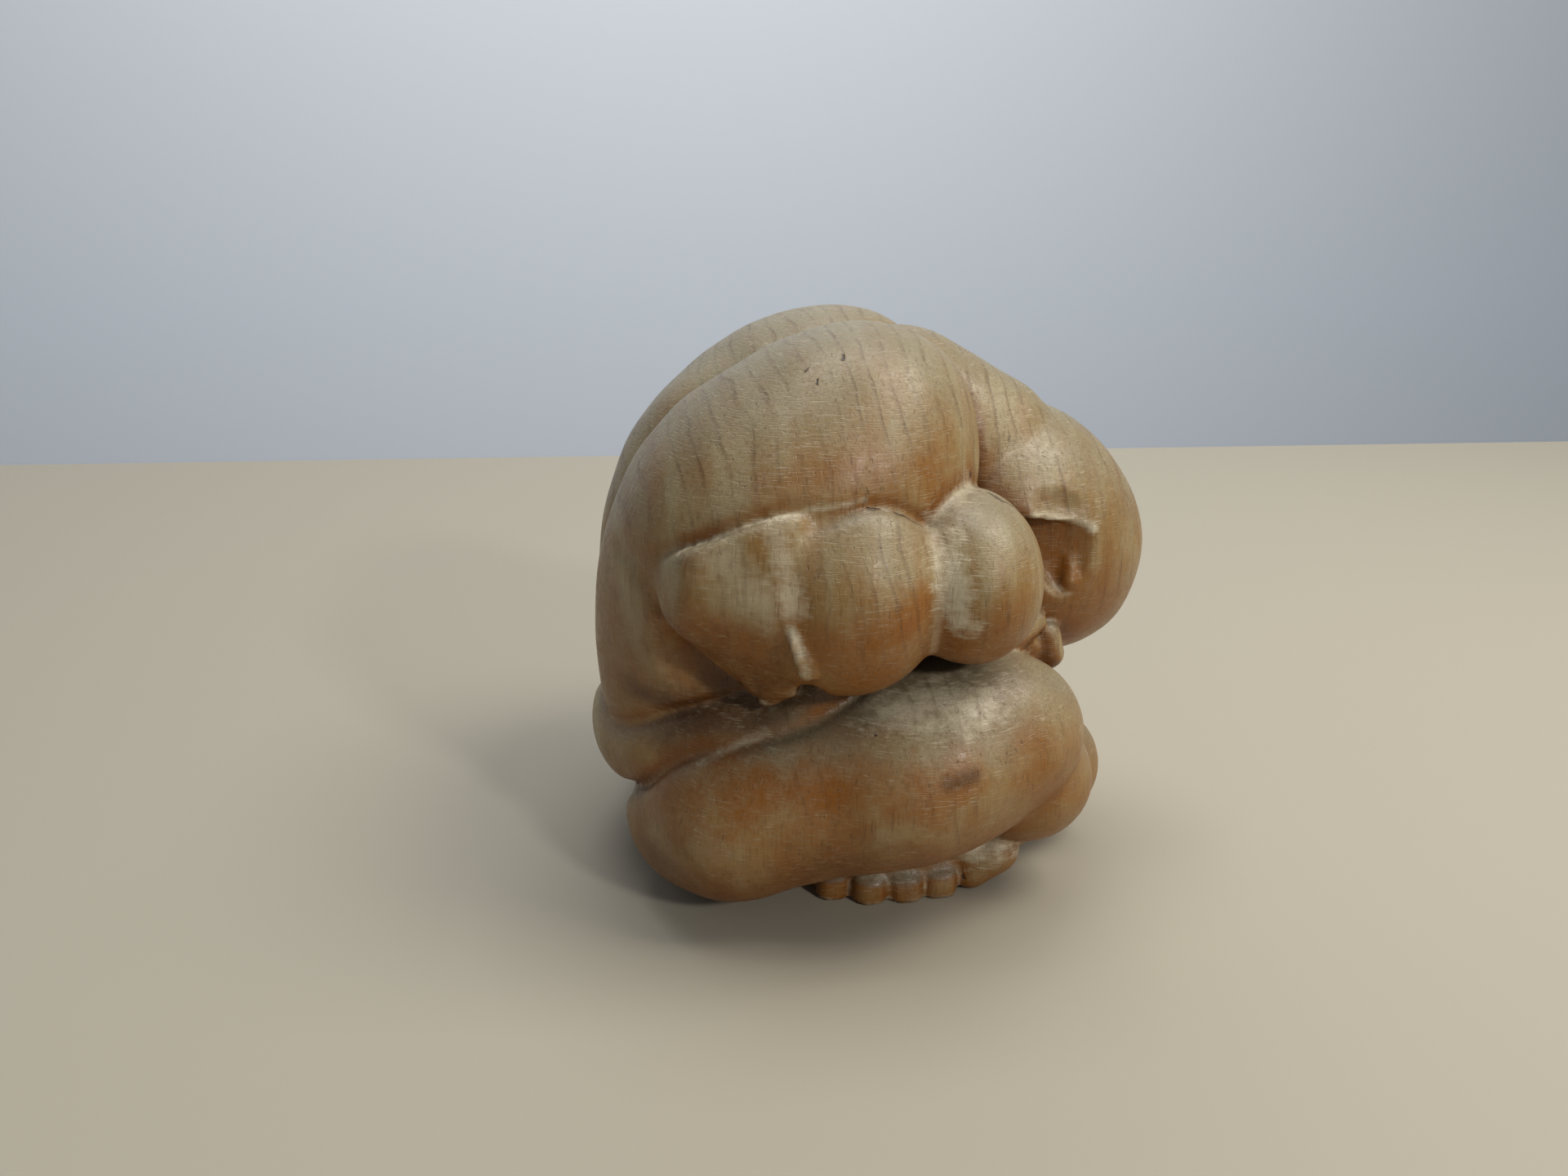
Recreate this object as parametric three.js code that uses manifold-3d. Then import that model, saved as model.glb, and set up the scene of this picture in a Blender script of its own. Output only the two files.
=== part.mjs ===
// A seated figure folded over its crossed legs, with its bowed face hidden in its hands, carved in one piece
// from a block of pale wood. +X is where the figure faces, +Y is its left side and +Z is up.
// The origin is on the underside, in the middle of the footprint.
import * as THREE from 'three';
import { RoundedBoxGeometry } from 'three/addons/geometries/RoundedBoxGeometry.js';
import { mergeVertices } from 'three/addons/utils/BufferGeometryUtils.js';
import Module from 'manifold-3d';

// Driving dimension, in millimetres
const HEIGHT = 99;

// Pose, proportions and carving are in hundredths of the height from here on.
// The right side is given, at negative Y, and the left side mirrors it unless a name says otherwise.
const BACK = {
  lobe: { centre: [-15.5, -14.5, 67.5], radii: [36, 26.5, 25], pitch: 48 },
  loin: { centre: [-26.8, -7, 42], radii: [23.1, 19.5, 44], pitch: 0 },
  flank: { centre: [-20, -18, 72], radii: [22, 21.5, 16], pitch: 20 },
  softness: 6,
};
const NECK = { from: [4.5, 0, 78.5], to: [19.5, 0, 73.5], radii: [18, 15] };
const BELLY = { centre: [6, 0, 45], radii: [28, 25, 30], pitch: 0 };
const WAIST_ROLL = { centre: [-19, 0, 35.3], ringRadius: 24.3, rollRadius: 10.5, pitch: 25, flatten: 1 };
const UNDER_ELBOW = { centre: [-30, -37, 46], radii: [14, 10.5, 8.5], pitch: -30 };
const SEAT = { centre: [-2, 0, 8], radii: [36, 27, 16], pitch: 0 };
const HEAD = { centre: [27.5, 0, 60], radii: [26.5, 20.5, 21.5], pitch: -45 };
const EAR = {
  dish: { centre: [29.8, -22.4, 68.8], radii: [7.5, 5.2, 4.2], pitch: -14 },
  hollow: [
    { on: [30, -17, 58], facing: [-0.16, 1, 0] },
    { on: [22, -20, 58], facing: [-1, 0, 0] },
    { on: [34.9, -20, 58], facing: [1, 0, -0.1] },
    { on: [28, -20, 65.7], facing: [0.13, 0, 1] },
    { on: [34, -20, 52.6], facing: [-0.2, 0, -1] },
    { on: [27.5, -20, 55.2], facing: [-0.8, 0, -0.6] },
    { on: [31, -30, 58], facing: [0, -1, 0] },
  ],
  lobe: { from: [31.7, -17, 60.5], to: [32.6, -17.3, 54.8], radii: [1.2, 1.9] },
};
const SHOULDER = { centre: [9.5, -31, 61], radii: [12, 15, 14], pitch: 0 };
const UPPER_ARM = { centre: [-8.7, -33, 61], radii: [13.8, 14.5, 18.3], pitch: 0 };
const TRICEPS = { from: [-23, -35.5, 69], to: [-9, -34, 68.5], radii: [5.5, 7] };
const ELBOW_RIDGE = [-20.6, -44.6, 58.3];
const ELBOW = [
  { on: ELBOW_RIDGE, facing: [-0.27, -0.96, 0.09] },
  { on: ELBOW_RIDGE, facing: [-0.36, -0.83, -0.42] },
  { on: [-38.3, -37.5, 65.5], facing: [-1, -0.45, 0.1] },
  { on: [-31.5, -38, 70.7], facing: [-0.42, 0, 0.91] },
  { on: [-31, -41.5, 71.8], facing: [-0.35, -0.6, 0.72] },
  { on: [-30.9, -37, 48.3], facing: [-0.74, 0, -0.68] },
  { on: [-20, -39, 43], facing: [0.42, -0.2, -0.88] },
  { on: [-18.5, -44.8, 60], facing: [0.45, -0.89, 0.06] },
  { on: [-20, -18, 60], facing: [0, 1, 0] },
  { on: [-8, -30, 60], facing: [1, 0, 0] },
];
const HAND = {
  fingers: 4,
  knuckle: [22, -18, 44],
  knuckleStep: [0, 4.4, -1],
  tip: [30, -15.6, 40.5],
  tipStep: [1.2, 4.2, -0.6],
  radii: [4, 3.1],
  thumb: { from: [20, -21, 46], to: [25.8, -19.4, 48], radii: [4, 2.2] },
  thumbTip: { from: [28.6, -17.4, 44.6], to: [29.6, -17.2, 40.8], radii: [2.3, 2.7] },
};
const LEG = {
  thigh: { from: [-26, -28, 17.5], to: [19, -27, 31], radii: [12.5, 13.5] },
  calf: { centre: [1, -26.5, 27.5], radii: [23, 21, 17], pitch: 16.5 },
  buttock: { centre: [-30, -17, 14.5], radii: [16, 17, 13], pitch: 0 },
  hip: { centre: [-22, -23, 23.5], radii: [20, 17, 15], pitch: 20 },
  softness: 8,
};
// The left shin lies in front and passes to the right side, over the right shin
const FRONT_SHIN = {
  knee: [26, 26, 22],
  middle: [33, -8, 14.5],
  ankle: [15.5, -21.5, 8.5],
  radii: [12, 10.5, 7.5],
};
const REAR_SHIN = { from: [24, -24, 21], to: [22, 14, 16], radii: [12, 10] };
const FOOT = { centre: [3, -21, 6], radii: [19, 10, 7.5], pitch: 0 };
const TOES = {
  fronts: [[-10, -27.4], [-3.9, -29.6], [2.4, -29.8], [8.7, -29.2]],
  size: [6.2, 9, 6.4],
  middleHeight: 2,
  edge: 1.8,
};
const BIG_TOE = {
  root: { from: [15, -23.4, 2.6], to: [17.6, -21.8, 2.6], radii: [3.4, 4] },
  tip: { centre: [20.2, -20.4, 5.4], radii: [4.2, 4.4, 3.8], pitch: 0 },
};

// Fineness of the faceted skin: cells of the blended masses, and facets round each of the others
const TORSO_CELL = 5.8;
const LEG_CELL = 5;
const FACETS = { head: 24, mass: 17, limb: 14, finger: 8, roll: 30 };
// A ball has this many rings from pole to pole for each facet round it
const BALL_RINGS = 0.7;

// A field is a function of a point that is negative inside the wood and about the distance outside it.
// Masses that flow into each other are blended as fields.
// Masses that meet in a crease are joined as solids.

// Field of an ellipsoid, its +X end turned up by pitch, in degrees
function ballField({ centre, radii, pitch }) {
  const cos = Math.cos(THREE.MathUtils.degToRad(pitch));
  const sin = Math.sin(THREE.MathUtils.degToRad(pitch));
  return (x, y, z) => {
    const along = (x - centre[0]) * cos + (z - centre[2]) * sin;
    const across = (z - centre[2]) * cos - (x - centre[0]) * sin;
    const local = [along, y - centre[1], across];
    const near = Math.hypot(...local.map((value, axis) => value / radii[axis]));
    const slope = Math.hypot(...local.map((value, axis) => value / radii[axis] ** 2));
    return near * (near - 1) / Math.max(slope, 1e-6);
  };
}

// Field of a tapered capsule between two points
function limbField({ from, to, radii }) {
  const axis = new THREE.Vector3(...to).sub(new THREE.Vector3(...from));
  const length = axis.length();
  axis.normalize();
  const lean = (radii[0] - radii[1]) / length;
  const upright = Math.sqrt(1 - lean ** 2);
  return (x, y, z) => {
    const offset = new THREE.Vector3(x, y, z).sub(new THREE.Vector3(...from));
    const along = offset.dot(axis);
    const off = Math.sqrt(Math.max(offset.lengthSq() - along ** 2, 0));
    const place = along * upright - off * lean;
    if (place < 0) return Math.hypot(along, off) - radii[0];
    if (place > upright * length) return Math.hypot(along - length, off) - radii[1];
    return off * upright + along * lean - radii[0];
  };
}

// Union of fields, rounded where they meet
function blend(softness, fields) {
  return (x, y, z) => fields.map((field) => field(x, y, z)).reduce((a, b) => {
    const overlap = Math.max(softness - Math.abs(a - b), 0) / softness;
    return Math.min(a, b) - overlap ** 2 * softness / 4;
  });
}

// Space round the masses in which a skin is looked for
const SKIN_SPACE = { low: [-70, -70, -17.5], high: [70, 70, 105] };

// Closed skin over a field, with one vertex in each cell that the surface passes, drawn onto the surface
function skin(field, cell) {
  const { low, high } = SKIN_SPACE;
  const counts = low.map((start, axis) => Math.ceil((high[axis] - start) / cell));
  const index = (i, j, k) => (i * counts[1] + j) * counts[2] + k;
  const values = new Float64Array(counts[0] * counts[1] * counts[2]);
  const everyCell = (visit) => {
    for (let i = 0; i < counts[0] - 1; i++) {
      for (let j = 0; j < counts[1] - 1; j++) {
        for (let k = 0; k < counts[2] - 1; k++) visit(i, j, k);
      }
    }
  };
  everyCell((i, j, k) => {
    values[index(i, j, k)] = field(...[i, j, k].map((n, axis) => low[axis] + n * cell));
  });
  const inside = (i, j, k) => values[index(i, j, k)] < 0;
  const vertexOf = new Map();
  const positions = [];
  const edges = cellEdges();
  everyCell((i, j, k) => {
    const crossings = edges.flatMap(([near, far, axis]) => {
      const a = values[index(i + near[0], j + near[1], k + near[2])];
      const b = values[index(i + far[0], j + far[1], k + far[2])];
      return a < 0 === b < 0 ? [] : [near.map((value, q) => value + (q === axis ? a / (a - b) : 0))];
    });
    if (!crossings.length) return;
    const place = [i, j, k].map((n, q) => {
      const middle = crossings.reduce((sum, point) => sum + point[q], 0) / crossings.length;
      return low[q] + (n + middle) * cell;
    });
    vertexOf.set(index(i, j, k), positions.length / 3);
    positions.push(...ontoSurface(field, place));
  });
  const triangles = [];
  everyCell((i, j, k) => {
    for (let axis = 0; axis < 3; axis++) {
      const next = [i, j, k].map((n, q) => n + (q === axis ? 1 : 0));
      if (inside(i, j, k) === inside(...next)) continue;
      const around = [[1, 1], [0, 1], [0, 0], [1, 0]].map(([back, side]) => {
        const place = [i, j, k];
        place[(axis + 1) % 3] -= back;
        place[(axis + 2) % 3] -= side;
        return vertexOf.get(index(...place));
      });
      triangles.push(...splitQuad(inside(i, j, k) ? around : around.reverse(), positions));
    }
  });
  const geometry = new THREE.BufferGeometry();
  geometry.setAttribute('position', new THREE.Float32BufferAttribute(positions, 3));
  return geometry.setIndex(triangles);
}

// The twelve edges of a cell, each as its two corners and its axis
function cellEdges() {
  const edges = [];
  for (let corner = 0; corner < 8; corner++) {
    const near = [corner & 1, (corner >> 1) & 1, (corner >> 2) & 1];
    for (let axis = 0; axis < 3; axis++) {
      if (!near[axis]) edges.push([near, near.map((value, q) => (q === axis ? 1 : value)), axis]);
    }
  }
  return edges;
}

// Moves a point along the field's slope until it lies on the surface
function ontoSurface(field, start) {
  const nudge = 0.05;
  const rounds = 4;
  const gentlestSlope = 0.25;
  let point = start;
  for (let round = 0; round < rounds; round++) {
    const value = field(...point);
    const slope = point.map((_, axis) => {
      const ahead = point.map((v, q) => v + (q === axis ? nudge : 0));
      return (field(...ahead) - value) / nudge;
    });
    const steepness = Math.max(slope.reduce((sum, s) => sum + s ** 2, 0), gentlestSlope);
    point = point.map((v, axis) => v - value * slope[axis] / steepness);
  }
  return point;
}

// Two triangles of a quad, along its shorter diagonal
function splitQuad([a, b, c, d], positions) {
  const between = (m, n) => Math.hypot(...[0, 1, 2].map((q) => positions[m * 3 + q] - positions[n * 3 + q]));
  return between(a, c) < between(b, d) ? [a, b, c, a, c, d] : [a, b, d, b, c, d];
}

function ball({ centre, radii, pitch }, facets) {
  return new THREE.SphereGeometry(1, facets, Math.round(facets * BALL_RINGS))
    .scale(...radii)
    .rotateY(THREE.MathUtils.degToRad(-pitch))
    .translate(...centre);
}

// Tapered capsule: two arcs and the straight side that touches both, turned about its axis
function limb({ from, to, radii }, facets) {
  const axis = new THREE.Vector3(...to).sub(new THREE.Vector3(...from));
  const length = axis.length();
  const tangent = Math.asin((radii[0] - radii[1]) / length);
  const arcSteps = Math.round(facets / 4);
  const arc = (radius, height, start, end) => Array.from({ length: arcSteps + 1 }, (_, i) => {
    const angle = start + (end - start) * i / arcSteps;
    return new THREE.Vector2(radius * Math.cos(angle), height + radius * Math.sin(angle));
  });
  const profile = [
    ...arc(radii[0], 0, -Math.PI / 2, tangent),
    ...arc(radii[1], length, tangent, Math.PI / 2),
  ];
  profile[0].x = 0;
  profile[profile.length - 1].x = 0;
  const turn = new THREE.Quaternion().setFromUnitVectors(new THREE.Vector3(0, 1, 0), axis.normalize());
  return new THREE.LatheGeometry(profile, facets).applyQuaternion(turn).translate(...from);
}

// Ring of flesh round a leaning axis, drawn in across the figure by flatten
function roll({ centre, ringRadius, rollRadius, pitch, flatten }) {
  return new THREE.TorusGeometry(ringRadius, rollRadius, FACETS.mass / 2, FACETS.roll)
    .scale(1, 1 / flatten, 1)
    .rotateY(THREE.MathUtils.degToRad(-pitch))
    .translate(...centre);
}

function withSharedCorners(geometry) {
  const copy = geometry.clone();
  copy.deleteAttribute('normal');
  copy.deleteAttribute('uv');
  return mergeVertices(copy);
}

function mirrored(geometry) {
  const copy = geometry.clone().scale(1, -1, 1);
  const corners = copy.index.array;
  for (let t = 0; t < corners.length; t += 3) [corners[t], corners[t + 1]] = [corners[t + 1], corners[t]];
  return copy;
}

const bothSides = (geometries) => geometries.flatMap((geometry) => [geometry, mirrored(geometry)]);

const wasm = await Module();
wasm.setup();

function solid(geometry) {
  const merged = withSharedCorners(geometry);
  return new wasm.Manifold(new wasm.Mesh({
    numProp: 3,
    vertProperties: merged.attributes.position.array,
    triVerts: Uint32Array.from(merged.index.array),
  }));
}

const joined = (geometries) => geometries.map(solid).reduce((sum, part) => sum.add(part));

function geometryOf(manifold) {
  const mesh = manifold.getMesh();
  const geometry = new THREE.BufferGeometry();
  geometry.setAttribute('position', new THREE.Float32BufferAttribute(mesh.vertProperties, 3));
  return geometry.setIndex(Array.from(mesh.triVerts));
}

// Block left between flat knife cuts, each a point on the cut and the way the cut face looks
function block(cuts) {
  const size = 100;
  const middle = cuts.reduce((sum, { on }) => sum.add(new THREE.Vector3(...on)), new THREE.Vector3());
  middle.divideScalar(cuts.length);
  const blank = solid(new THREE.BoxGeometry(size, size, size).translate(...middle));
  const carved = cuts.reduce((rest, { on, facing }) => {
    const way = new THREE.Vector3(...facing).normalize();
    const turn = new THREE.Quaternion().setFromUnitVectors(new THREE.Vector3(0, 0, 1), way);
    const waste = new THREE.BoxGeometry(size * 4, size * 4, size * 2).translate(0, 0, size);
    return rest.subtract(solid(waste.applyQuaternion(turn).translate(...on)));
  }, blank);
  return geometryOf(carved);
}

// Two lobes with the spine's groove between them, the neck, the belly and the roll at the waist,
// gouged out under each elbow
function trunk() {
  const side = blend(BACK.softness, [ballField(BACK.lobe), ballField(BACK.loin), ballField(BACK.flank)]);
  const middle = [
    limb(NECK, FACETS.head),
    ball(BELLY, FACETS.mass),
    roll(WAIST_ROLL),
    ball(SEAT, FACETS.mass),
  ];
  const underElbows = joined(bothSides([ball(UNDER_ELBOW, FACETS.mass)]));
  return joined([...bothSides([skin(side, TORSO_CELL)]), ...middle]).subtract(underElbows);
}

// Egg-shaped bowed head, with a gouged dish over each ear's ledge, and the ear's hollow and lobe under it
function head() {
  const hollows = joined(bothSides([ball(EAR.dish, FACETS.limb), block(EAR.hollow)]));
  const lobes = joined(bothSides([limb(EAR.lobe, FACETS.finger)]));
  return solid(ball(HEAD, FACETS.head)).subtract(hollows).add(lobes);
}

// Shoulder and upper arm as round masses, and the folded elbow as a block with flat knife cuts
function arms() {
  const upperArm = [ball(SHOULDER, FACETS.mass), ball(UPPER_ARM, FACETS.mass), limb(TRICEPS, FACETS.limb)];
  return joined(bothSides([...upperArm, block(ELBOW)]));
}

// Fingers side by side under the forehead, and the thumb beside the cheek
function hands() {
  const along = (point, step, times) => point.map((value, axis) => value + step[axis] * times);
  const fingers = Array.from({ length: HAND.fingers }, (_, i) => limb({
    from: along(HAND.knuckle, HAND.knuckleStep, i),
    to: along(HAND.tip, HAND.tipStep, i),
    radii: HAND.radii,
  }, FACETS.finger));
  const thumb = [limb(HAND.thumb, FACETS.finger), limb(HAND.thumbTip, FACETS.finger)];
  return joined(bothSides([...fingers, ...thumb]));
}

// Thigh and calf pressed into one mass that runs back into the buttock, and the shins crossed in front
function legs() {
  const masses = [limbField(LEG.thigh), ballField(LEG.calf), ballField(LEG.buttock), ballField(LEG.hip)];
  const folded = blend(LEG.softness, masses);
  const { knee, middle, ankle, radii } = FRONT_SHIN;
  const shins = [
    limb({ from: knee, to: middle, radii: [radii[0], radii[1]] }, FACETS.limb),
    limb({ from: middle, to: ankle, radii: [radii[1], radii[2]] }, FACETS.limb),
    limb(REAR_SHIN, FACETS.limb),
  ];
  return joined([...bothSides([skin(folded, LEG_CELL)]), ...shins]);
}

// Feet tucked under the thighs, with four block-like toes and the big toe to the side
function feet() {
  const toe = withSharedCorners(new RoundedBoxGeometry(...TOES.size, 1, TOES.edge));
  const toes = TOES.fronts.map(([x, front]) => {
    return toe.clone().translate(x, front + TOES.size[1] / 2, TOES.middleHeight);
  });
  const bigToe = [limb(BIG_TOE.root, FACETS.finger), ball(BIG_TOE.tip, FACETS.finger)];
  return joined(bothSides([ball(FOOT, FACETS.limb), ...bigToe, ...toes]));
}

// The carving, sawn flat at the ground, with its footprint's middle at the origin and at its real height
function carving() {
  const masses = [trunk(), legs(), head(), arms(), hands(), feet()].reduce((sum, part) => sum.add(part));
  const side = 300;
  const ground = new THREE.BoxGeometry(side, side, side).translate(0, 0, -side / 2);
  const geometry = geometryOf(masses.subtract(solid(ground)));
  geometry.computeBoundingBox();
  const { min, max } = geometry.boundingBox;
  const scale = HEIGHT / max.z;
  return geometry.translate(-(min.x + max.x) / 2, -(min.y + max.y) / 2, 0).scale(scale, scale, scale);
}

const paleWood = new THREE.MeshStandardMaterial({ color: 0xa98250, roughness: 0.55, metalness: 0 });

const crouchedFigure = new THREE.Mesh(carving(), paleWood);
crouchedFigure.name = 'crouched_figure';

const group = new THREE.Group();
group.add(crouchedFigure);
export default group;
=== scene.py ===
import math

import bpy
import numpy as np
from mathutils import Matrix, Vector


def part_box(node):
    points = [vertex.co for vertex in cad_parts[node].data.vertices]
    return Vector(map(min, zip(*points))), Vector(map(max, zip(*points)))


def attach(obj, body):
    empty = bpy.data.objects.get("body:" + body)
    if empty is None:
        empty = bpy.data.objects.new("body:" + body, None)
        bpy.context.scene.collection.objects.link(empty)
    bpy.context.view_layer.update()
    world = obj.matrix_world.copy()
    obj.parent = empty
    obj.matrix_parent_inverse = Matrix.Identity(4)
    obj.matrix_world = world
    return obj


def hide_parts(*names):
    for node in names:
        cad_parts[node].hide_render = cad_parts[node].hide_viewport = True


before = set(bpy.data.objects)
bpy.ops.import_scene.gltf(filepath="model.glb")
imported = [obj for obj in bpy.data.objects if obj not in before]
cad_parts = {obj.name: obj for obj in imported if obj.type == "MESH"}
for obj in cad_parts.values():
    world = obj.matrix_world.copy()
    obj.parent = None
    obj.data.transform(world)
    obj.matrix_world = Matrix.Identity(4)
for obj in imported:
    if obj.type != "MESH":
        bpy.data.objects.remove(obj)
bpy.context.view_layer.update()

# The crouched figure: a seated figure folded over its crossed legs, its bowed face hidden in its hands.
# It is one block of pale, fine-grained tropical wood, roughed out with a gouge, its masses parted by knife
# cuts, sawn flat underneath and sanded by hand, with no finish but years of handling.
figure_low, figure_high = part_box("crouched_figure")
FIGURE_HEIGHT = (figure_high - figure_low).z

# Sizes and places are in hundredths of the figure's height. Each mass is a field: the distance of points from
# its surface, negative inside. One that takes r, not p, is the right side's, at negative Y, and is mirrored.


def ball(p, centre, radii, pitch=0):
    """Distance to an ellipsoid whose +X end is turned up by pitch, in degrees."""
    cos, sin = math.cos(math.radians(pitch)), math.sin(math.radians(pitch))
    x, y, z = (p[:, axis] - centre[axis] for axis in range(3))
    local = np.stack([x * cos + z * sin, y, z * cos - x * sin], 1)
    near = np.linalg.norm(local / np.float32(radii), axis=1)
    steepness = np.linalg.norm(local / np.float32(radii) ** 2, axis=1)
    return near * (near - 1) / np.maximum(steepness, 1e-6)


def limb(p, start, end, radii):
    """Distance to a tapered capsule between two points."""
    start, end = np.float32(start), np.float32(end)
    length = np.linalg.norm(end - start)
    axis = (end - start) / length
    offset = p - start
    along = offset @ axis
    off = np.linalg.norm(offset - along[:, None] * axis, axis=1)
    lean = (radii[0] - radii[1]) / length
    upright = math.sqrt(1 - lean ** 2)
    place = along * upright - off * lean
    side = off * upright + along * lean - radii[0]
    side = np.where(place < 0, np.hypot(along, off) - radii[0], side)
    return np.where(place > upright * length, np.hypot(along - length, off) - radii[1], side)


def roll(p, centre, ring_radius, roll_radius, pitch):
    """Distance to a ring of flesh round an axis that leans by pitch, in degrees."""
    cos, sin = math.cos(math.radians(pitch)), math.sin(math.radians(pitch))
    x, y, z = (p[:, axis] - centre[axis] for axis in range(3))
    along, across = x * cos + z * sin, z * cos - x * sin
    return np.hypot(np.hypot(along, y) - ring_radius, across) - roll_radius


def join(softness, *masses):
    """Union of masses, rounded where they meet."""
    whole = masses[0]
    for mass in masses[1:]:
        overlap = np.maximum(softness - np.abs(whole - mass), 0) / softness
        whole = np.minimum(whole, mass) - overlap ** 2 * softness / 4
    return whole


def cut(softness, wood, tool):
    """What the tool leaves of the wood, with a softened edge."""
    return -join(softness, -wood, tool)


def block(p, softness, knife_cuts):
    """Wood left behind flat knife cuts, each a point on the cut and the way the cut face looks."""
    inside = None
    for on, facing in knife_cuts:
        way = np.float32(facing) / np.linalg.norm(facing)
        plane = (p - np.float32(on)) @ way
        inside = plane if inside is None else -join(softness, -inside, -plane)
    return inside


def groove(wood, mass, other, width, fade=3):
    """Parting cut where two masses meet, as deep as it is wide, that fades out away from their line."""
    across, off = (mass - other) / width, np.hypot(mass, other) / fade
    return wood + width * np.exp(-across ** 2 - off ** 2)


def waves(p, length, seed):
    """Smooth unevenness between about -1 and 1, with bumps about one length across."""
    draw = np.random.default_rng(seed)
    total = 0
    for _ in range(6):
        way = draw.normal(size=3)
        way *= 2 * math.pi / (length * draw.uniform(1.2, 2.6)) / np.linalg.norm(way)
        total = total + np.sin(p @ np.float32(way) + np.float32(draw.uniform(0, 2 * math.pi)))
    return total / 3


def torso(r):
    """One lobe of the back, with the loin under it and the ribs at its side."""
    lobe = ball(r, (-15.5, -14.5, 67.5), (36, 26.5, 25), pitch=48)
    loin = ball(r, (-26.8, -7, 42), (23.1, 19.5, 44))
    flank = ball(r, (-20, -18, 72), (22, 21.5, 16), pitch=20)
    return join(6, lobe, loin, flank)


def ear(r, skull):
    """Ear cut into the side of the skull: a gouged dish over a ledge, and under it a hollow with the lobe."""
    dish = ball(r, (29.8, -22.6, 69), (7.5, 5.2, 4.4), pitch=-14)
    hollow = block(r, 2.2, [
        ((29, -16.9, 60), (0.26, 1, -0.1)),
        ((20, -20, 58), (-1, 0, 0)),
        ((36.2, -20, 58), (1, 0.7, -0.25)),
        ((28, -20, 66), (0.13, 0, 1)),
        ((34, -20, 52.2), (-0.1, 0, -1)),
        ((27.5, -20, 55.2), (-0.8, 0, -0.6)),
    ])
    lobe = limb(r, (32, -17.5, 58.6), (32.1, -18, 54.6), (0.9, 1.9))
    return join(0.8, cut(0.7, cut(1.2, skull, dish), hollow), lobe)


def elbow(r):
    """Blunt bent elbow: an upper and a lower knife facet, either side of a ridge that runs down forwards."""
    ridge = (-20.6, -44.6, 58.3)
    return block(r, 1.8, [
        (ridge, (-0.27, -0.96, 0.09)),
        (ridge, (-0.35, -0.81, -0.46)),
        ((-36.4, -37.5, 65.5), (-1, -0.5, 0.1)),
        ((-31.5, -38, 70.7), (-0.42, 0, 0.91)),
        ((-31, -41.5, 71.8), (-0.35, -0.6, 0.72)),
        ((-30.9, -37, 48.3), (-0.74, 0, -0.68)),
        ((-20, -39, 43), (0.42, -0.2, -0.88)),
        ((-21, -44.3, 64), (0.5, -0.86, 0.06)),
        ((-18, -38, 75.8), (0.12, 0, 1)),
        ((-20, -18, 60), (0, 1, 0)),
        ((-8, -30, 60), (1, 0, 0)),
    ])


def arm(r):
    """Arm folded back from the shoulder, its forearm hidden under it, and a splintered ridge at the elbow."""
    shoulder = ball(r, (9.5, -31, 61), (12, 15, 14))
    upper_arm = ball(r, (-9.7, -33, 60), (15, 14.7, 17))
    triceps = limb(r, (-23, -35.5, 68), (-9, -34.5, 67.5), (6.5, 8.8))
    notch = limb(r, (-17.4, -46, 44.8), (-16, -36, 45.6), (1.8, 1.8))
    bent = cut(1.5, join(2, join(2.5, elbow(r), triceps), upper_arm), notch)
    splinter = limb(r, (-20.2, -44.4, 57.4), (-18, -43.3, 50.8), (0.8, 1.3)) + 0.45 * waves(r, 1.7, 5)
    return join(0.5, bent, splinter), shoulder


def hand(r):
    """Hand under the face: four bent fingers behind a thumb."""
    fingers = [
        limb(r, (22, -18 + 4.4 * i, 44 - i), (30 + 1.2 * i, -15.6 + 4.2 * i, 40.5 - 0.6 * i), (4, 3.1))
        for i in range(4)
    ]
    thumb = limb(r, (20, -21, 46), (25.8, -19.4, 48), (4, 2.2))
    tip = limb(r, (29, -17.9, 44.8), (29.4, -17.9, 41.2), (2.4, 2.6))
    return join(0.6, thumb, tip, *fingers)


def leg(r):
    """Thigh and calf folded into one mass, with the buttock and the hip behind."""
    thigh = limb(r, (-26, -28, 17.5), (19, -27, 31), (12.5, 13.5))
    calf = ball(r, (1, -26.5, 27.5), (23, 21, 17), pitch=16.5)
    buttock = ball(r, (-30, -17, 14.5), (16, 17, 13))
    hip = ball(r, (-22, -23, 23.5), (20, 17, 15), pitch=20)
    return join(8, thigh, calf, join(3, buttock, hip))


def pad(r, centre, half, edge):
    """Distance to a block with rounded edges, as a toe is carved."""
    over = np.abs(r - np.float32(centre)) - np.float32(half) + edge
    outside = np.linalg.norm(np.maximum(over, 0), axis=1)
    return outside + np.minimum(over.max(axis=1), 0) - edge


def foot(r):
    """Foot turned on its outer side, its toes in a row along the figure's right."""
    sole = ball(r, (3, -21, 5), (18, 7.6, 6))
    half, rounding = (3.3, 4.5, 4), 2.7
    nail_facing = np.float32((0, -0.62, 0.78))
    toes = []
    for x, front in [(-10, -27.9), (-3.9, -30.1), (2.4, -30.4), (8.7, -30)]:
        toe = pad(r, (x, front + half[1], 2.2), half, rounding)
        nail = (r - np.float32((x, front + 0.7, 4.6))) @ nail_facing
        toes.append(cut(0.5, toe, -nail))
    big_toe = limb(r, (14.8, -25.4, 3.6), (18.6, -25.6, 7.6), (4, 4.9))
    return join(0.2, sole, big_toe, *toes)


# Unevenness that gouge and sanding have left: depth, length and seed.
HAND_WAVES = [(0.1, 6, 1), (0.2, 16, 2)]


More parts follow.
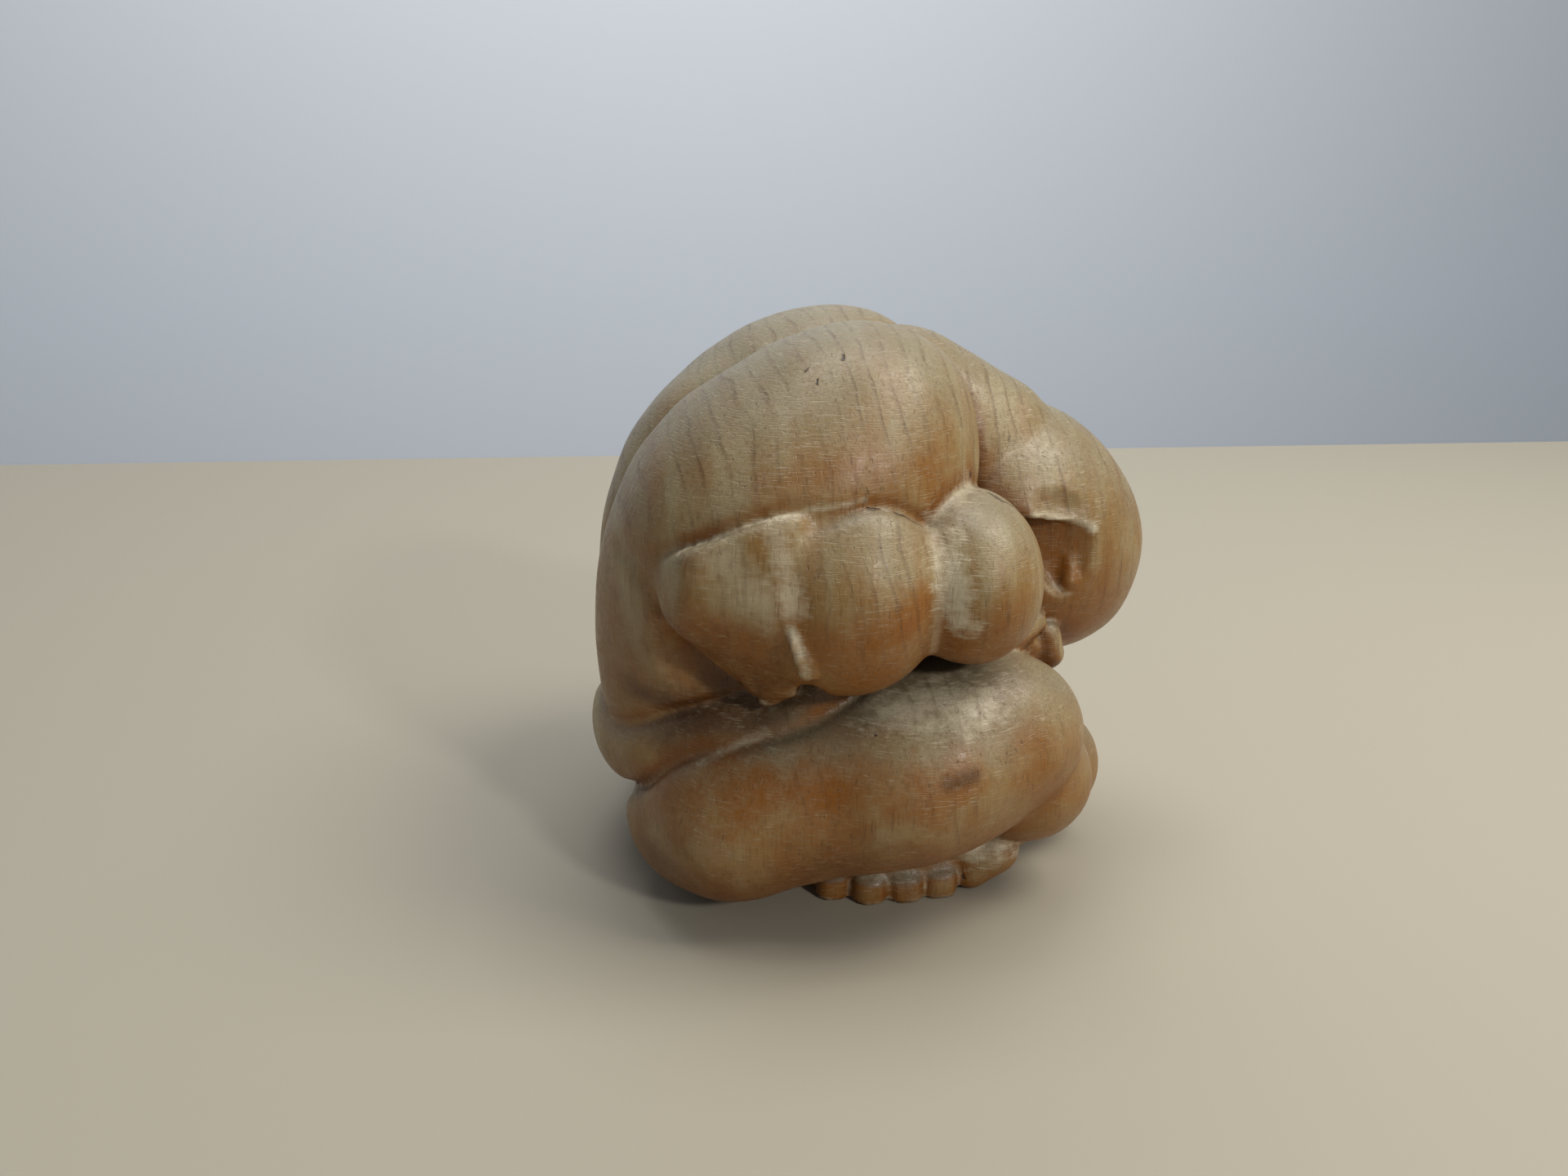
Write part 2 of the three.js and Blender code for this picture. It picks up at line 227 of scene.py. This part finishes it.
def figure(p):
    """Distance from points to the carved surface, negative inside the wood."""
    r = np.stack([p[:, 0], -np.abs(p[:, 1]), p[:, 2]], 1)
    back = torso(r)
    neck = limb(p, (4.5, 0, 78.5), (19.5, 0, 73.5), (18, 15))
    belly = ball(p, (6, 0, 45), (28, 25, 30))
    waist = roll(p, (-19, 0, 35.3), 24.3, 10.5, 25)
    seat = ball(p, (-2, 0, 8), (36, 27, 16))
    folded_leg = leg(r)
    shin = limb(p, (26, 26, 22), (33, -8, 14.5), (12, 10.5))
    ankle = limb(p, (33, -8, 14.5), (15.5, -21.5, 8.5), (10.5, 7.5))
    front_shin = join(3, shin, ankle)
    rear_shin = limb(p, (24, -24, 21), (22, 14, 16), (12, 10))
    skull = ball(p, (27.5, 0, 60), (26.5, 20.5, 21.5), pitch=-45)
    bent_arm, shoulder = arm(r)
    toes = foot(r)
    trunk = join(1.2, join(4, join(1.5, back, neck), belly), waist)
    under_elbow = ball(r, (-30, -37, 46), (14, 10.5, 8.5), pitch=-30)
    trunk = cut(5, trunk, under_elbow)
    seated = join(1.0, trunk, folded_leg, front_shin, rear_shin, seat)
    wood = join(0.7, seated, ear(r, skull), join(2.6, bent_arm, shoulder), hand(r), toes)
    for mass, other, width in (
        (bent_arm, back, 0.8),
        (back, neck, 1),
        (waist, back, 1.1),
        (folded_leg, waist, 1.1),
        (folded_leg, front_shin, 1),
        (toes, folded_leg, 0.8),
    ):
        wood = groove(wood, mass, other, width)
    for depth, length, seed in HAND_WAVES:
        wood = wood + depth * waves(p, length, seed)
    sawn_underside = -p[:, 2]
    return np.maximum(wood, sawn_underside)


def sampled(field, low, high, cell):
    """The field on a grid: exact near the surface, and a coarse copy further off."""
    coarse, near, chunk = 4, 1.9, 400000
    axes = [np.arange(low[i], high[i] + cell, cell, dtype=np.float32) for i in range(3)]
    shape = tuple(len(a) for a in axes)
    rough = np.stack(np.meshgrid(*(a[::coarse] for a in axes), indexing="ij"), -1)
    values = field(rough.reshape(-1, 3)).reshape(rough.shape[:3])
    for axis in range(3):
        values = np.repeat(values, coarse, axis).take(range(shape[axis]), axis)
    close = np.nonzero(np.abs(values) < coarse * cell * near)
    points = np.stack([axes[i][close[i]] for i in range(3)], -1)
    exact = [field(points[start:start + chunk]) for start in range(0, len(points), chunk)]
    values[close] = np.concatenate(exact)
    return values, axes


def skin(values, axes):
    """Closed skin of quads over the zero of a sampled field, one vertex in each cell that it passes."""
    inside = values < 0
    shape = np.array(values.shape)
    corners = [(i, j, k) for i in (0, 1) for j in (0, 1) for k in (0, 1)]
    filled = np.zeros(shape - 1, np.int8)
    for corner in corners:
        filled += inside[tuple(slice(c, c + n - 1) for c, n in zip(corner, shape))]
    cells = np.stack(np.nonzero((filled > 0) & (filled < 8)), -1)
    number = np.full(shape - 1, -1, np.int64)
    number[tuple(cells.T)] = np.arange(len(cells))
    total, count = np.zeros((len(cells), 3)), np.zeros(len(cells))
    for corner in corners:
        for axis in range(3):
            if corner[axis]:
                continue
            far = np.array(corner)
            far[axis] = 1
            a, b = values[tuple((cells + corner).T)], values[tuple((cells + far).T)]
            crossed = (a < 0) != (b < 0)
            point = np.tile(np.array(corner, float), (len(cells), 1))
            point[:, axis] = np.where(crossed, a / np.where(crossed, a - b, 1), 0)
            total += point * crossed[:, None]
            count += crossed
    origin, cell = np.array([a[0] for a in axes]), axes[0][1] - axes[0][0]
    vertices = origin + (cells + total / count[:, None]) * cell
    quads = []
    for axis in range(3):
        u, v = (axis + 1) % 3, (axis + 2) % 3
        low = [slice(1, n - 1) for n in shape]
        low[axis] = slice(0, shape[axis] - 1)
        high = list(low)
        high[axis] = slice(1, shape[axis])
        edges = np.argwhere(inside[tuple(low)] != inside[tuple(high)])
        edges += [0 if i == axis else 1 for i in range(3)]
        outward = inside[tuple(edges.T)]
        around = []
        for back, side in ((1, 1), (0, 1), (0, 0), (1, 0)):
            place = edges.copy()
            place[:, u] -= back
            place[:, v] -= side
            around.append(number[tuple(place.T)])
        quad = np.stack(around, -1)
        quad[~outward] = quad[~outward][:, ::-1]
        quads.append(quad)
    return vertices, np.concatenate(quads)


def slope(field, points, reach=0.15):
    """Unit direction in which a field grows, at each point."""
    step = np.eye(3, dtype=np.float32) * np.float32(reach)
    grown = [field(points + step[i]) - field(points - step[i]) for i in range(3)]
    ways = np.stack(grown, -1)
    return ways / np.maximum(np.linalg.norm(ways, axis=1), 1e-6)[:, None]


FINE_CELL = 0.8
SPACE_LOW, SPACE_HIGH = (-62, -58, -6), (66, 58, 110)
values, axes = sampled(figure, SPACE_LOW, SPACE_HIGH, FINE_CELL)
vertices, quads = skin(values, axes)
points = vertices.astype(np.float32)
outward = slope(figure, points)
# Where whitish dirt gathers in creases, where shade is painted into the hollows, and where hands rub: how
# near other wood lies over a point, and how thin the wood is under it.
crease_reach, hollow_reach, edge_reach = 1.4, 7, 1.6
marks = {
    "crease": 1 - figure(points + outward * np.float32(crease_reach)) / crease_reach,
    "hollow": 1 - figure(points + outward * np.float32(hollow_reach)) / hollow_reach,
    "edge": 1 + figure(points - outward * np.float32(edge_reach)) / edge_reach,
}
low, high = vertices.min(0), vertices.max(0)
# One hundredth of the height in metres, and the middle of the underside, in those sizes and in the frame.
UNIT = FIGURE_HEIGHT / (high[2] - low[2])
middle = np.array([(low[0] + high[0]) / 2, (low[1] + high[1]) / 2, low[2]])
stand = np.array([(figure_low.x + figure_high.x) / 2, (figure_low.y + figure_high.y) / 2, figure_low.z])
vertices = (vertices - middle) * UNIT + stand

mesh = bpy.data.meshes.new("carved_figure")
mesh.vertices.add(len(vertices))
mesh.vertices.foreach_set("co", vertices.astype(np.float32).ravel())
mesh.loops.add(quads.size)
mesh.loops.foreach_set("vertex_index", quads.astype(np.int32).ravel())
mesh.polygons.add(len(quads))
mesh.polygons.foreach_set("loop_start", np.arange(0, quads.size, 4, dtype=np.int32))
mesh.update(calc_edges=True)
mesh.shade_smooth()
for name, mark in marks.items():
    attribute = mesh.attributes.new(name, "FLOAT", "POINT")
    attribute.data.foreach_set("value", np.clip(mark, 0, 1).astype(np.float32))
carving = bpy.data.objects.new("carved_figure", mesh)
bpy.context.scene.collection.objects.link(carving)
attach(carving, "root")
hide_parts("crouched_figure")


def linear(code):
    """Linear colour of an sRGB hex code such as "c8a070"."""
    parts = [int(code[i:i + 2], 16) / 255 for i in (0, 2, 4)]
    return [c / 12.92 if c <= 0.04045 else ((c + 0.055) / 1.055) ** 2.4 for c in parts] + [1]


# Hibiscus wood, sanded, waxed by hands and unvarnished. It gives a soft satin gloss on pale tan wood, dusty
# grey on the upper faces, and whitish on worn edges and parting cuts. Its warmer, darker colour in the
# hollows, low down and on faces that look down is painted shade, and the pale on top of the thigh is a
# painted highlight.
wood = bpy.data.materials.new("handled_hibiscus_wood")
wood.use_nodes = True
wood.node_tree.nodes.clear()
MM = 0.001
TAN, PALE, AMBER, BROWN = linear("8c6f42"), linear("9b8b67"), linear("844e0c"), linear("4a2b0f")
GREY, WORN_AND_HIGHLIGHT, SOOT = linear("7e7862"), linear("cac0a6"), linear("2a2118")


def add(kind, sockets=(), **settings):
    """Adds a node with its settings; its open sockets, in order or by name, take a value or a link each."""
    node = wood.node_tree.nodes.new("ShaderNode" + kind)
    for name, value in settings.items():
        setattr(node, name, value)
    named = isinstance(sockets, dict)
    order = [node.inputs[name] for name in sockets] if named else [s for s in node.inputs if s.enabled]
    for socket, value in zip(order, sockets.values() if named else sockets):
        if isinstance(value, bpy.types.NodeSocket):
            wood.node_tree.links.new(socket, value)
        else:
            socket.default_value = value
    return next((socket for socket in node.outputs if socket.enabled), None)


def clouds(size, detail=3, stretch=(1, 1, 1)):
    """Cloudy pattern with features about one size across, drawn out by stretch."""
    spread = add("VectorMath", [place, [1 / (size * s) for s in stretch]], operation="MULTIPLY")
    return add("TexNoise", {"Vector": spread, "Scale": 1, "Detail": detail})


def where(low, high, most, *shares):
    """Rises from 0 to most, a number or a pattern, as a sum of patterns by shares goes from low to high."""
    total = 0
    for pattern, share in shares:
        total = add("Math", [pattern, share, total], operation="MULTIPLY_ADD")
    return add("MapRange", [total, low, high, 0, most])


def away(spot, start, end):
    """Distance from a straight mark on the wood, whose ends are in hundredths of the figure's height."""
    start, end = (Vector((np.array(point) - middle) * UNIT + stand) for point in (start, end))
    way, length = (end - start).normalized(), (end - start).length
    offset = add("VectorMath", [spot, start], operation="SUBTRACT")
    along = add("Clamp", [add("VectorMath", [offset, way], operation="DOT_PRODUCT"), 0, length])
    nearest = add("VectorMath", [way, along], operation="SCALE")
    return add("VectorMath", [offset, nearest], operation="DISTANCE")


place = add("TexCoord").node.outputs["Object"]
upward = add("SeparateXYZ", [add("NewGeometry").node.outputs["Normal"]]).node.outputs["Z"]
height = add("SeparateXYZ", [place]).node.outputs["Z"]
crease, hollow, edge = (
    add("Attribute", attribute_name=name).node.outputs["Fac"] for name in ("crease", "hollow", "edge")
)
# The right side's place for both sides, as both have worn alike.
level = add("VectorMath", [place, (1, 0, 1)], operation="MULTIPLY")
folded = add("VectorMath", [place], operation="ABSOLUTE")
right_side = add("VectorMath", [folded, (0, -1, 0), level], operation="MULTIPLY_ADD")

# Growth rings, sheets across the figure: wide bands of tone, and a thin late line that fades here and there.
RING_SPACING, RING_WAY = 3.3 * MM, (0.99, 0, 0.13)
SWAY, RIPPLE = 7 * MM, 0.8 * MM
across = add("VectorMath", [place, RING_WAY], operation="DOT_PRODUCT")
wander = add("Math", [clouds(22 * MM, 2), SWAY, across], operation="MULTIPLY_ADD")
wander = add("Math", [clouds(5 * MM, 3, (1, 1, 2)), RIPPLE, wander], operation="MULTIPLY_ADD")
ring = add("Math", [add("Math", [wander, RING_SPACING], operation="DIVIDE")], operation="FRACT")
broken = where(0.3, 0.6, 1, (clouds(3 * MM, 3, (1, 1, 4)), 1))
ring_seen = where(0.52, 0.8, broken, (clouds(15 * MM, 2), 1), (height, 2.6))
lines = where(0.7, 0.9, where(1.0, 0.92, ring_seen, (ring, 1)), (ring, 1))
growth = clouds(2.4 * MM, 3, (1, 7, 9))

# Fibres run upright: short dark pores and pale streaks. Handling has left fine scratches that lie level.
# Fibres and scratches are finer than this in the wood, and are drawn this coarse to show.
fibres = clouds(0.45 * MM, 4, (1, 1, 12))
pores = where(0.63, 0.71, 1, (clouds(0.5 * MM, 2, (1, 1, 6)), 1))
scratches = where(0.54, 0.7, 1, (clouds(0.17 * MM, 2, (13, 13, 1)), 1))
mottle = clouds(9 * MM, 4)
patches = clouds(5 * MM, 4)
speckle = clouds(1.1 * MM, 5)
flakes = clouds(1.4 * MM, 6, (1.6, 1.6, 1))

# From the bare wood up: cloudy tone, growth bands on the upper part, painted shade in amber and brown in the
# hollows, low down and on faces that look down, then grey.
colour = TAN
for tint, amount in (
    (PALE, where(0.42, 0.64, 0.8, (clouds(14 * MM), 1))),
    (PALE, where(0.5, 0.68, where(0.01, 0.07, 0.6, (height, 1)), (growth, 1))),
    (AMBER, where(0.5, 0.32, where(0.01, 0.07, 0.4, (height, 1)), (growth, 1))),
    # Painted shade: amber in the hollows and low down, amber on faces that look down, brown in the deep
    # hollows.
    (AMBER, where(0.28, 0.8, 0.85, (mottle, 1), (hollow, 1), (height, -4.5))),
    (AMBER, where(0.3, 1.1, 0.8, (mottle, 0.8), (upward, -1))),
    (BROWN, where(0.5, 1.2, 0.6, (hollow, 1), (mottle, 0.5))),
    (GREY, where(0.5, 1.25, 0.75, (upward, 1), (mottle, 0.7))),
):
    colour = add("Mix", [amount, colour, tint], data_type="RGBA")

# Patches, each with most, reach and two ends: where hands have rubbed the wood pale, where the wood is darker
# amber and brown, and, where marked, painted shade and a painted highlight.
for tint, most, reach, start, end in (
    (AMBER, 0.9, 10, (-13, -46, 56), (-1, -46, 58)),
    # Painted shade under the elbow, on the waist roll.
    (BROWN, 0.85, 10, (-38, -27, 36), (-26, -32, 40)),
    (AMBER, 0.55, 7, (-20, -39, 79), (1, -36, 80)),
    (AMBER, 0.7, 6, (13, -45, 59), (7, -45, 53)),
    (AMBER, 0.9, 10, (-42, -28, 23), (-28, -38, 28.5)),
    (AMBER, 0.9, 8, (-28, -38, 28.5), (6, -46, 31)),
    # Painted shade on the elbow's lower facet, which faces down.
    (AMBER, 0.95, 8, (-34, -38, 57), (-23, -40, 47)),
    # Painted shade in the hollow under the ear's ledge.
    (AMBER, 0.85, 6, (28, -17, 62), (31, -17.5, 57.6)),
    (AMBER, 0.6, 8, (39, -17.7, 55), (38, -16, 48)),
    (AMBER, 0.5, 6, (20, -41, 36), (27, -36, 30)),
    (AMBER, 0.6, 7, (-46, -20, 52), (-47, -12, 45)),
    (BROWN, 0.5, 9, (-40, -30, 12), (-4, -46, 17)),
    (WORN_AND_HIGHLIGHT, 0.85, 4.8, (3.4, -42, 68.5), (4.7, -45, 59)),
    # Painted highlight on the top of the thigh, under the arm.
    (WORN_AND_HIGHLIGHT, 0.7, 8, (-3, -38.6, 41.4), (9, -38.5, 42.2)),
    (WORN_AND_HIGHLIGHT, 0.55, 3.4, (-22.4, -42.4, 73.4), (-20, -44.6, 61)),
    (WORN_AND_HIGHLIGHT, 0.35, 6, (-31, -41.5, 68), (-24, -43.4, 62)),
    (WORN_AND_HIGHLIGHT, 0.2, 8, (20, -12, 84), (26, -18, 72)),
    (WORN_AND_HIGHLIGHT, 0.35, 1.6, (-33, -32.5, 31.5), (-23, -33, 36)),
    (WORN_AND_HIGHLIGHT, 0.8, 1.7, (-20.4, -44.8, 58), (-18, -44, 51)),
    (WORN_AND_HIGHLIGHT, 0.65, 1.1, (-36, -36, 68), (-21, -41, 74.6)),
    (WORN_AND_HIGHLIGHT, 0.5, 1.0, (-21, -41, 74.6), (-9, -40, 76.2)),
    (WORN_AND_HIGHLIGHT, 0.9, 1.9, (24.9, -20, 66.7), (35.6, -18.7, 64.4)),
    (WORN_AND_HIGHLIGHT, 0.5, 4, (9, -30, 75), (3, -37, 71)),
    (WORN_AND_HIGHLIGHT, 0.5, 2.6, (-10, -28, 6.8), (9, -31, 6.8)),
    (WORN_AND_HIGHLIGHT, 0.95, 5.5, (15, -28.5, 9.5), (20, -27, 9.5)),
    # Painted shade, deeper brown, on the elbow's lower facet.
    (BROWN, 0.5, 8, (-36, -38, 54), (-23, -38, 45)),
    # Painted shade along the crease over the waist roll, below and left of the elbow.
    (BROWN, 0.6, 5, (-44, -21, 39), (-28, -28, 41)),
):
    gap = (away(right_side, start, end), 1 / (reach * UNIT))
    if tint is WORN_AND_HIGHLIGHT:
        amount = where(1.8, 1.05, most, gap, (patches, 0.7), (flakes, 1.4), (scratches, -0.3))
    else:
        amount = where(1.3, 0.35, most, gap, (patches, 1.1), (speckle, 0.5), (mottle, -0.8))
    colour = add("Mix", [amount, colour, tint], data_type="RGBA")

# Ring lines and fibres, dirt in the pores, then the pale of scratches and of rubbed edges and parting cuts.
scratched = where(0, 1, 0.3, (scratches, 1))
rubbed = where(0.3, 0.95, 0.6, (crease, 1), (edge, 1.2), (hollow, -0.6))
for tint, amount in (
    (BROWN, where(0, 1, 0.45, (lines, 1))),
    (BROWN, where(0.5, 0.75, 0.35, (fibres, 1))),
    (SOOT, where(0.45, 0.62, where(0, 1, 0.4, (pores, 1)), (mottle, 1))),
    (WORN_AND_HIGHLIGHT, where(0.4, 0.64, scratched, (speckle, 0.6), (patches, 0.4))),
    (WORN_AND_HIGHLIGHT, where(0.44, 0.6, rubbed, (patches, 0.5), (flakes, 0.5))),
):
    colour = add("Mix", [amount, colour, tint], data_type="RGBA")

# A drying check between the shoulder and the neck, a hairline over the upper arm, a split beside the big toe,
# and a few specks and a smudge of dirt: width and two ends of each.
RAG_SIZE, RAG_SWING = 1.5 * MM, 0.8 * MM
rag = add("TexNoise", {"Vector": place, "Scale": 1 / RAG_SIZE}).node.outputs["Color"]
ragged = add("VectorMath", [rag, [RAG_SWING] * 3, place], operation="MULTIPLY_ADD")
ragged = add("VectorMath", [ragged, [-RAG_SWING / 2] * 3], operation="ADD")
dirt = 0
for width, start, end in (
    (0.65, (10.3, -28.3, 76.6), (13.7, -33.6, 73.8)),
    (0.5, (13.7, -33.6, 73.8), (17.5, -32.6, 71.1)),
    (0.3, (-8.5, -39.8, 74.9), (-3.7, -39.1, 73.6)),
    (0.26, (-3.7, -39.1, 73.6), (2.2, -38.3, 70.6)),
    (0.5, (12.8, -27.4, 5.9), (12.8, -28.8, 3.4)),
    (0.35, (-14.6, -30.1, 91.7), (-14.4, -29.6, 92.3)),
    (0.3, (-10.4, -27.4, 94.8), (-10.1, -26.5, 95.3)),
    (0.3, (-16, -27.5, 93.1), (-15.4, -27, 93.5)),
    (0.4, (-23.6, -33.3, 43.1), (-23.5, -33.3, 43.2)),
    (0.3, (-6.7, -40.2, 38.3), (-6.6, -40.2, 38.3)),
):
    mark = where(width * UNIT, width * UNIT * 0.4, 0.8, (away(ragged, start, end), 1))
    dirt = add("Math", [mark, dirt], operation="MAXIMUM")
SMUDGE_REACH = 2.4 * UNIT
smudge = where(1.25, 0.5, 0.5, (away(place, (3.8, -46.6, 32.2), (8, -46, 33)), 1 / SMUDGE_REACH),
               (patches, 0.5), (speckle, 0.3))
soiled = add("Math", [dirt, smudge], operation="MAXIMUM")
colour = add("Mix", [soiled, colour, SOOT], data_type="RGBA")

RELIEF_DEPTH, RELIEF_STRENGTH = 0.14 * MM, 0.6
relief = 0
for pattern, depth in (
    (fibres, 0.5), (scratches, -0.4), (pores, -0.5), (lines, -0.3), (speckle, 0.7), (dirt, -3),
):
    relief = add("Math", [pattern, depth, relief], operation="MULTIPLY_ADD")
surface = add("BsdfPrincipled", {
    "Base Color": colour,
    "IOR": 1.45,
    "Roughness": add("MapRange", [speckle, 0.3, 0.7, 0.3, 0.5]),
    "Normal": add("Bump", {"Strength": RELIEF_STRENGTH, "Distance": RELIEF_DEPTH, "Height": relief}),
})
add("OutputMaterial", [surface])
mesh.materials.append(wood)

# A floor to stand on, whose far edge runs slightly askew behind the figure, and a wall beyond it. Both are
# plain, pale and matt, and are only there to take the shadow and the light.
SIDE, EDGE_LEFT, EDGE_RIGHT = 3, 0.536, 0.136
WALL_AWAY, WALL_LOW, WALL_HIGH = 1.0, -1, 2
for name, corners, tone in (
    ("floor", [(-SIDE, -SIDE, 0), (SIDE, -SIDE, 0), (SIDE, EDGE_RIGHT, 0), (-SIDE, EDGE_LEFT, 0)], "a09a8b"),
    ("wall", [(-SIDE, WALL_AWAY, WALL_LOW), (SIDE, WALL_AWAY, WALL_LOW),
              (SIDE, WALL_AWAY, WALL_HIGH), (-SIDE, WALL_AWAY, WALL_HIGH)], "dfe6ee"),
):
    sheet = bpy.data.meshes.new(name)
    sheet.from_pydata(corners, [], [(0, 1, 2, 3)])
    paint = bpy.data.materials.new("matt_" + name)
    paint.use_nodes = True
    shader = paint.node_tree.nodes["Principled BSDF"]
    shader.inputs["Base Color"].default_value = linear(tone)
    shader.inputs["Roughness"].default_value = 0.8
    sheet.materials.append(paint)
    backdrop = bpy.data.objects.new(name, sheet)
    bpy.context.scene.collection.objects.link(backdrop)

# Soft room light: a wide ceiling light above the figure's right front, a window behind the camera that puts
# the small highlights on the arm, a wash on the wall, and pale light from all round.
MID_FIGURE = (0, 0, 0.05)
for name, spot, aim, width, watts, tone in (
    ("ceiling", (0.34, -0.1, 0.57), MID_FIGURE, 0.3, 2.85, "fff8ec"),
    ("window", (0.38, -0.66, 0.44), MID_FIGURE, 0.08, 2.4, "fffaf2"),
    ("wall_wash", (0, 0.3, 1.2), (0, WALL_AWAY, 0.3), 0.8, 11.5, "ffffff"),
):
    light = bpy.data.lights.new(name, "AREA")
    light.size, light.energy, light.color = width, watts, linear(tone)[:3]
    lamp = bpy.data.objects.new(name, light)
    lamp.location = spot
    lamp.rotation_mode = "QUATERNION"
    lamp.rotation_quaternion = (Vector(aim) - lamp.location).to_track_quat("-Z", "Y")
    bpy.context.scene.collection.objects.link(lamp)
sky = bpy.data.worlds.new("pale_sky")
sky.use_nodes = True
all_round = sky.node_tree.nodes["Background"]
all_round.inputs["Color"].default_value = linear("e6ecf4")
all_round.inputs["Strength"].default_value = 0.24
bpy.context.scene.world = sky
bpy.context.scene.view_settings.view_transform = "Standard"

# The camera stands close, about 0.2 m off, a little behind square on to the figure's right side, and looks
# down on it. From there a wide lens of 27 mm takes in the whole figure.
CAMERA_TURN, CAMERA_DOWN, CAMERA_YAW = math.radians(-12), math.radians(19), math.radians(4.2)
CAMERA_AWAY, CAMERA_HIGH = 0.208, 0.12
LENS, SENSOR, NEAREST = 27.04, 36, 0.01
eye = Vector((math.sin(CAMERA_TURN) * CAMERA_AWAY, -math.cos(CAMERA_TURN) * CAMERA_AWAY, CAMERA_HIGH))
heading = CAMERA_TURN + CAMERA_YAW
ahead = Vector((-math.sin(heading) * math.cos(CAMERA_DOWN), math.cos(heading) * math.cos(CAMERA_DOWN),
                -math.sin(CAMERA_DOWN)))
right = ahead.cross(Vector((0, 0, 1))).normalized()
view = Matrix((right, right.cross(ahead), -ahead)).transposed().to_4x4()
view.translation = eye
camera = bpy.data.cameras.new("camera")
camera.lens = LENS
camera.sensor_width = SENSOR
camera.clip_start = NEAREST
camera_stand = bpy.data.objects.new("camera", camera)
camera_stand.matrix_world = view
bpy.context.scene.collection.objects.link(camera_stand)
bpy.context.scene.camera = camera_stand
